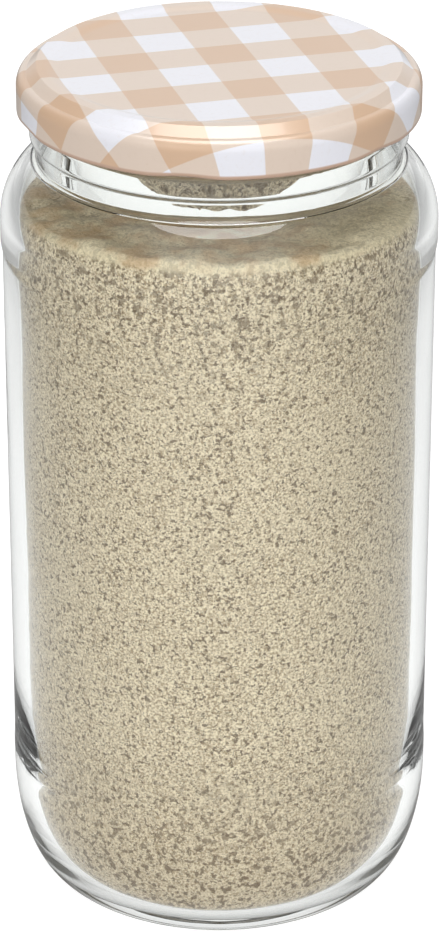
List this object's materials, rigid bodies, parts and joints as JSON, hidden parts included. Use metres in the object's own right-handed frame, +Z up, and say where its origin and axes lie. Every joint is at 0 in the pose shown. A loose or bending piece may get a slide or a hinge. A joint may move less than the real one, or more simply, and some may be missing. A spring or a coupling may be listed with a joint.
{
  "type": "twist-off storage jar",
  "caption": "Round glass jar with a twist-off printed tinplate lid, holding a thick flour paste.",
  "frame": {"origin": "centre of the ring that the jar stands on, at the level of the surface under it", "axes": "+Z up along the jar's own axis; +X to the right and -Y towards the viewer of the picture"},
  "size_m": [0.0924, 0.0924, 0.1879],
  "materials": {
    "glass": "clear flint glass, glossy",
    "printed_tinplate": "tan and white check print under gloss lacquer",
    "plastisol": "off-white, satin",
    "starter_paste": "grainy beige paste, matte to moist"
  },
  "bodies": {
    "jar": {"glass_jar": "glass", "starter": "starter_paste"},
    "seal": {"lid_gasket": "plastisol"},
    "lid": {"lid_shell": "printed_tinplate"}
  },
  "joints": [
    {"name": "lid_lift", "type": "slide", "parent": "jar", "child": "seal", "axis": [0, 0, 1], "range_m": [0, 0.045]},
    {"name": "lid_turn", "type": "hinge", "parent": "seal", "child": "lid", "pos_m": [0, 0, 0.187], "axis": [0, 0, 1], "range_deg": [-50, 0]}
  ]
}
